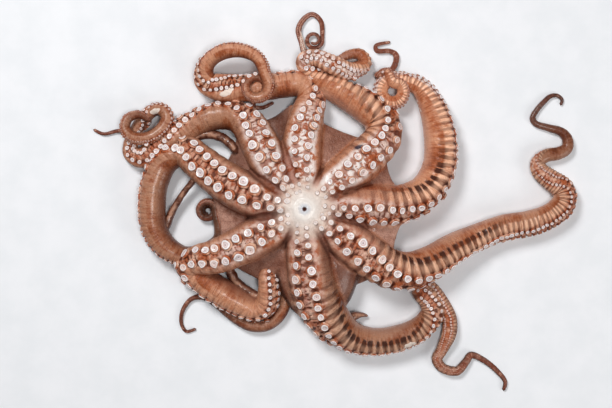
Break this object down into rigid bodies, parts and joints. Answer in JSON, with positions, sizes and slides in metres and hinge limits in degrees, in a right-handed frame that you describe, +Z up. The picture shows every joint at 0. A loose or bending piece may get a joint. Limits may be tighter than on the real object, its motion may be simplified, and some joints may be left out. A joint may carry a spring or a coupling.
{
  "type": "whole octopus",
  "caption": "Whole raw octopus laid mouth up, its arms spread, bent and curled at their ends; rests flat on its mantle and arms.",
  "frame": {"origin": "centre of the bounding box on the floor that the octopus rests on", "axes": "+X along the long spread of the arms, +Y across it away from the mantle's tip, +Z up through the mouth"},
  "size_m": [0.488, 0.382, 0.0569],
  "materials": {
    "skin": "wet, glossy, soft skin"
  },
  "bodies": {
    "root": {"octopus": "skin"}
  },
  "joints": []
}
